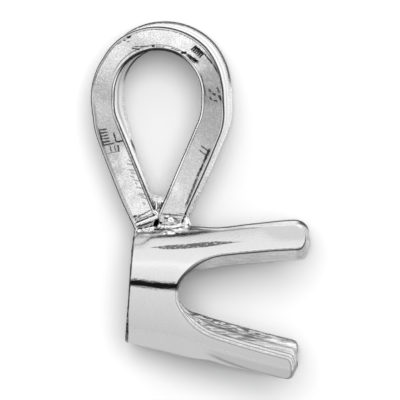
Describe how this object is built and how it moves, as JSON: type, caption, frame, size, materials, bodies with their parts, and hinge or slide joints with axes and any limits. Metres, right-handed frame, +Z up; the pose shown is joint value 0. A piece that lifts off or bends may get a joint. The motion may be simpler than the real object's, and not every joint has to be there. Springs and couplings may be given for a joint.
{
  "type": "four-prong pendant setting",
  "caption": "Empty prong pendant setting: an open tapered collar with flared prongs for a round stone and a teardrop loop of flat strip soldered on top, lying on its side.",
  "frame": {"origin": "middle of the part's footprint, on the surface that it lies on", "axes": "+Z up as the part lies on its side, +Y toward the top of the bail, +X toward the prong tips"},
  "size_m": [0.0058, 0.0092, 0.0041],
  "materials": {
    "white_gold": "polished, with satin strip faces"
  },
  "bodies": {
    "root": {"pendant_setting": "white_gold"}
  },
  "joints": []
}
